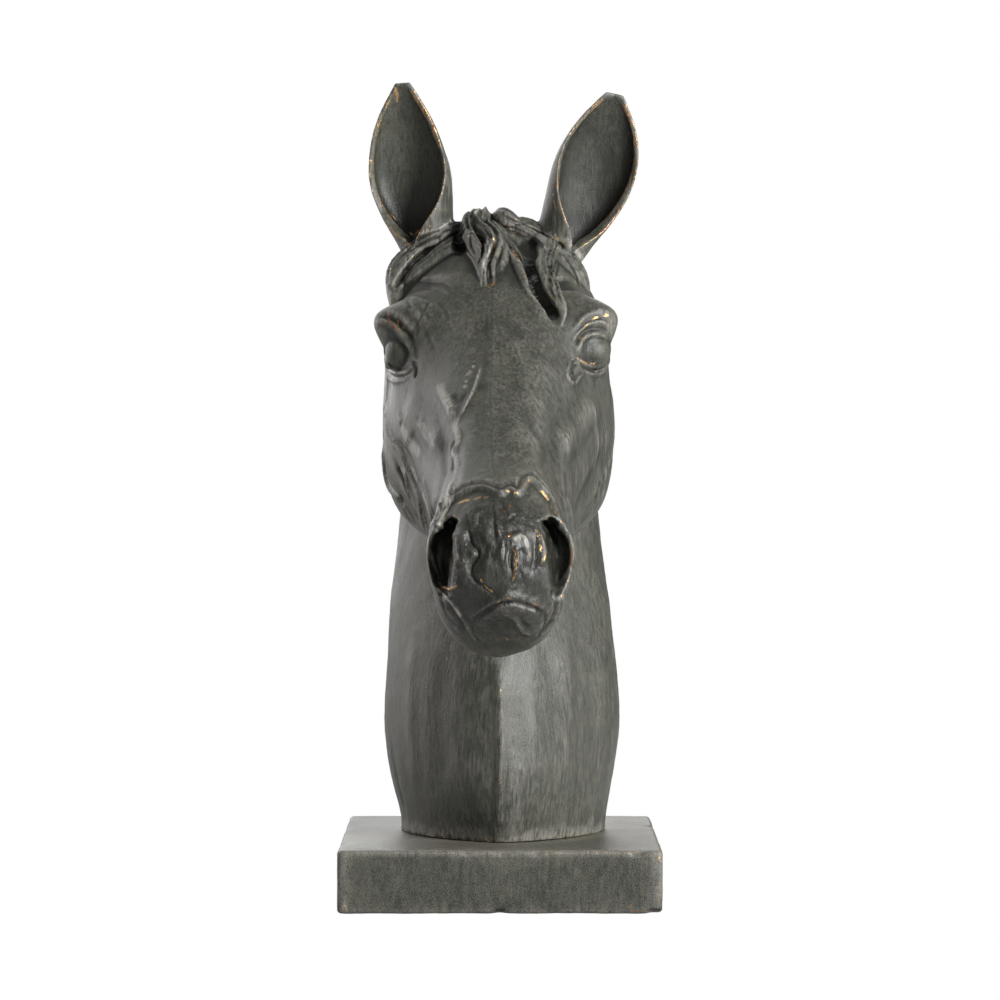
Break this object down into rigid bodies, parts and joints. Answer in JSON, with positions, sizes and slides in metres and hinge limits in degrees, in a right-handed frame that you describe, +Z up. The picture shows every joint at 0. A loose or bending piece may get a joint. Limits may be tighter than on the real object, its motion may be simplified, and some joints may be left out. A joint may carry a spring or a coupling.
{
  "type": "horse head bust",
  "caption": "Cast bust of a horse's head and neck with pricked ears and a short forelock, standing on a plain rectangular plinth, in a worn dark bronze finish.",
  "frame": {"origin": "middle of the plinth's underside", "axes": "+Z up, the horse faces -Y, +X to the viewer's right"},
  "size_m": [0.2286, 0.3933, 0.5924],
  "materials": {
    "figure": "cast resin with a dark grey-green bronze effect, semi-matte, brushed, worn to copper and gold on its edges",
    "plinth": "the same dark grey-green bronze effect, flatter, with small gold wear marks on its edges"
  },
  "bodies": {
    "root": {"horse_head": "figure", "plinth": "plinth"}
  },
  "joints": []
}
